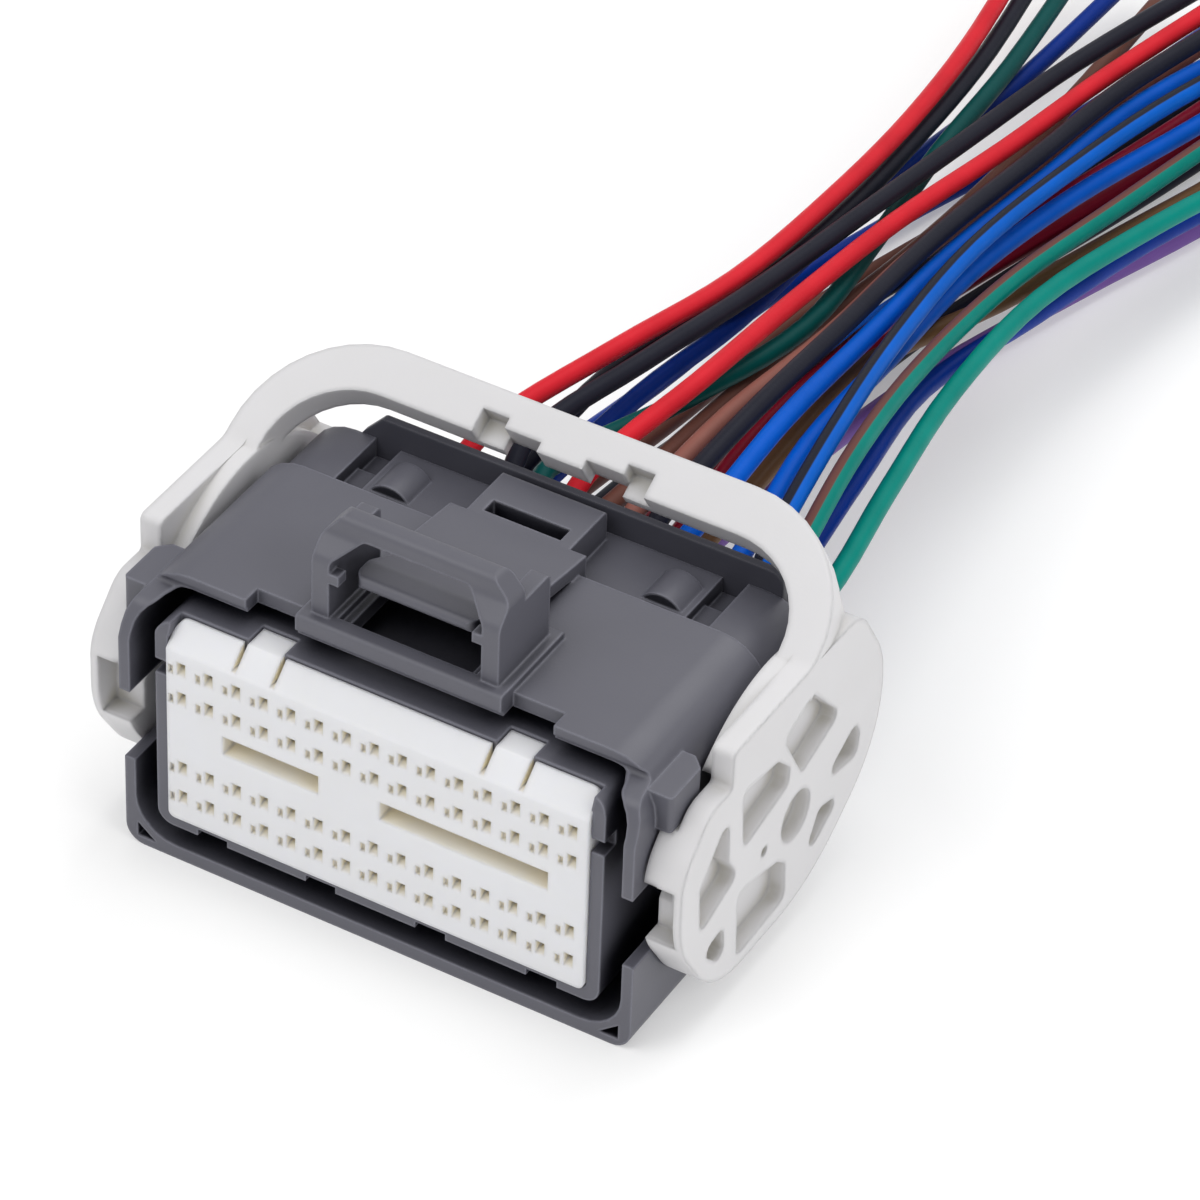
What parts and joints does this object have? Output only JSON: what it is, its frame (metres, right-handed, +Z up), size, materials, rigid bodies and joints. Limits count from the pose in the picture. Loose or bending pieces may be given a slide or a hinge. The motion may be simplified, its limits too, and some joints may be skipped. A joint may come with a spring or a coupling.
{
  "type": "engine control unit connector",
  "caption": "Sealed rectangular wire harness connector with a white contact holder, a lock arch, a swinging cam lever and a bundle of coloured wires.",
  "frame": {"origin": "middle of the mating face's lower edge, in the plane of the underside", "axes": "+X along the contact rows, +Y from the mating face to the wires, +Z up from the underside"},
  "size_m": [0.0468, 0.1305, 0.0314],
  "materials": {
    "housing_grey": "fine moulded grain",
    "holder_white": "smooth moulded",
    "lever_white": "fine moulded grain",
    "seal_grey": "soft silicone",
    "plug_grey": "smooth moulded",
    "contact_tin": "tin plated copper alloy",
    "wire_red": "smooth insulation",
    "wire_black": "smooth insulation",
    "wire_navy": "smooth insulation",
    "wire_blue": "smooth insulation",
    "wire_green": "smooth insulation",
    "wire_dark_green": "smooth insulation",
    "wire_brown": "smooth insulation",
    "wire_tan": "smooth insulation",
    "wire_maroon": "smooth insulation",
    "wire_purple": "smooth insulation"
  },
  "bodies": {
    "base": {"housing": "housing_grey", "front_holder": "holder_white", "perimeter_seal": "seal_grey", "wire_seal": "seal_grey", "rear_cover": "housing_grey", "blanking_plugs": "plug_grey", "terminals_row_1": "contact_tin", "terminals_row_2": "contact_tin", "terminals_row_3": "contact_tin", "terminals_row_4": "contact_tin", "wire_01": "wire_red", "wire_02": "wire_black", "wire_03": "wire_dark_green", "wire_04": "wire_red", "wire_05": "wire_brown", "wire_06": "wire_brown", "wire_07": "wire_black", "wire_08": "wire_blue", "wire_09": "wire_blue", "wire_10": "wire_blue", "wire_11": "wire_green", "wire_12": "wire_black", "wire_13": "wire_navy", "wire_14": "wire_maroon", "wire_15": "wire_tan", "wire_16": "wire_navy", "wire_17": "wire_green", "wire_18": "wire_navy", "wire_19": "wire_black", "wire_20": "wire_maroon", "wire_21": "wire_purple", "wire_22": "wire_brown", "wire_23": "wire_blue", "wire_24": "wire_black"},
    "lever": {"lever": "lever_white"}
  },
  "joints": [
    {"name": "lever_hinge", "type": "hinge", "parent": "base", "child": "lever", "pos_m": [0, 0.0165, 0.0105], "axis": [1, 0, 0], "range_deg": [0, 42]}
  ]
}
